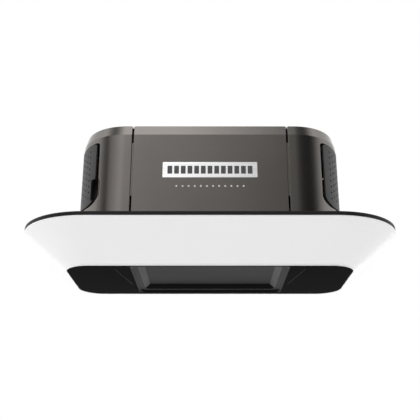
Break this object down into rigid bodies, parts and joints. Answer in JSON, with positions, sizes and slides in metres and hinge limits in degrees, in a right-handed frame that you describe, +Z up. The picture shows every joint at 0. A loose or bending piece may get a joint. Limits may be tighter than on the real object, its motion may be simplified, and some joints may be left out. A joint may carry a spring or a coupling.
{
  "type": "garage door opener power head",
  "caption": "Ceiling-mounted garage door opener head: dark metallic casing over a wide bevelled light lens, with side battery door, vent and top drive sprocket.",
  "frame": {"origin": "centre of the underside, in the plane of the bottom cover", "axes": "+Z up, -Y towards the badge side, +X to the right when facing the badge"},
  "size_m": [0.47, 0.2982, 0.22],
  "materials": {
    "gloss_black": "polished moulded plastic",
    "lens_white": "glossy opal acrylic",
    "pan_dark": "satin dark grey",
    "reflector_white": "matt white",
    "circuit_board": "green solder mask",
    "warm_grey": "warm grey metallic paint on moulded plastic",
    "badge_silver": "brushed and clear coated",
    "vent_grey": "fine textured",
    "steel": "ground or turned steel",
    "zinc_steel": "galvanised sheet steel",
    "zinc_screws": "bright zinc plated",
    "black_plastic": "fine textured",
    "cast_housing": "as cast",
    "nylon_gear": "natural nylon",
    "bronze": "sintered bronze",
    "sprocket_steel": "sintered steel",
    "isolator_rubber": "moulded rubber",
    "motor_steel": "black painted drawn steel",
    "ferrite": "ground ferrite",
    "lamination": "stacked laminations",
    "copper": "enamelled copper",
    "carbon": "carbon brush",
    "capacitor_sleeve": "dark blue sleeve",
    "terminal_grey": "grey nylon",
    "button_grey": "grey",
    "button_black": "black",
    "button_yellow": "yellow"
  },
  "bodies": {
    "power_head": {"badge_plate": "badge_silver", "base_pan": "pan_dark", "battery": "black_plastic", "battery_tray": "black_plastic", "board_standoffs": "zinc_steel", "bottom_cover": "gloss_black", "bracket_bolts": "zinc_screws", "button_bezel": "black_plastic", "capacitors": "capacitor_sleeve", "chassis_plate": "zinc_steel", "chassis_posts": "zinc_steel", "control_board": "circuit_board", "cord_gland": "black_plastic", "cover_screws": "zinc_screws", "encoder_board": "circuit_board", "encoder_bracket": "black_plastic", "front_panel": "warm_grey", "gearbox_housing": "cast_housing", "gearbox_lid": "cast_housing", "hanging_brackets": "zinc_steel", "heat_sink": "cast_housing", "hinge_pin": "steel", "led_boards": "circuit_board", "left_end_cap": "warm_grey", "light_lens": "lens_white", "light_reflector": "reflector_white", "motor_bearings": "steel", "motor_brushes": "carbon", "motor_can": "motor_steel", "motor_isolators": "isolator_rubber", "motor_magnets": "ferrite", "radio_module": "circuit_board", "rail_bracket": "zinc_steel", "rear_panel": "warm_grey", "relays": "black_plastic", "right_end_cap": "warm_grey", "shaft_bushes": "bronze", "sprocket_guard": "black_plastic", "switch_board": "circuit_board", "terminal_block": "terminal_grey", "terminal_screws": "steel", "transformer_core": "lamination", "transformer_winding": "copper", "vent_grille": "vent_grey"},
    "drive_shaft": {"worm_wheel": "nylon_gear", "output_shaft": "steel", "drive_sprocket": "sprocket_steel", "retaining_clip": "steel", "encoder_drive_gear": "nylon_gear"},
    "motor_rotor": {"motor_shaft": "steel", "worm": "steel", "rotor_core": "lamination", "rotor_windings": "copper", "commutator": "copper"},
    "encoder_wheel": {"encoder_gear": "nylon_gear"},
    "side_door": {"battery_door": "vent_grey"},
    "up_button": {"up_button": "button_grey"},
    "adjust_button": {"adjust_button": "button_black"},
    "down_button": {"down_button": "button_grey"},
    "learn_button": {"learn_button": "button_yellow"}
  },
  "joints": [
    {"name": "motor_spin", "type": "hinge", "parent": "power_head", "child": "motor_rotor", "pos_m": [0, -0.027, 0.15], "axis": [1, 0, 0], "continuous": true},
    {"name": "drive_spin", "type": "hinge", "parent": "power_head", "child": "drive_shaft", "pos_m": [0, 0.018, 0.15], "axis": [0, 0, 1], "continuous": true},
    {"name": "encoder_spin", "type": "hinge", "parent": "power_head", "child": "encoder_wheel", "pos_m": [-0.03, 0.018, 0.122], "axis": [0, 0, 1], "continuous": true},
    {"name": "door_swing", "type": "hinge", "parent": "power_head", "child": "side_door", "pos_m": [-0.1461, 0.08031, 0.125], "axis": [0, 0, -1], "range_deg": [0, 80]},
    {"name": "up_press", "type": "slide", "parent": "power_head", "child": "up_button", "axis": [0, -1, 0], "range_m": [0, 0.0012], "stiffness_N_per_m": 400},
    {"name": "adjust_press", "type": "slide", "parent": "power_head", "child": "adjust_button", "axis": [0, -1, 0], "range_m": [0, 0.0012], "stiffness_N_per_m": 400},
    {"name": "down_press", "type": "slide", "parent": "power_head", "child": "down_button", "axis": [0, -1, 0], "range_m": [0, 0.0012], "stiffness_N_per_m": 400},
    {"name": "learn_press", "type": "slide", "parent": "power_head", "child": "learn_button", "axis": [0, -1, 0], "range_m": [0, 0.0012], "stiffness_N_per_m": 400}
  ],
  "couplings": [
    {"joint": "drive_spin", "follows": "motor_spin", "ratio": -0.027778},
    {"joint": "encoder_spin", "follows": "motor_spin", "ratio": 0.013889}
  ]
}
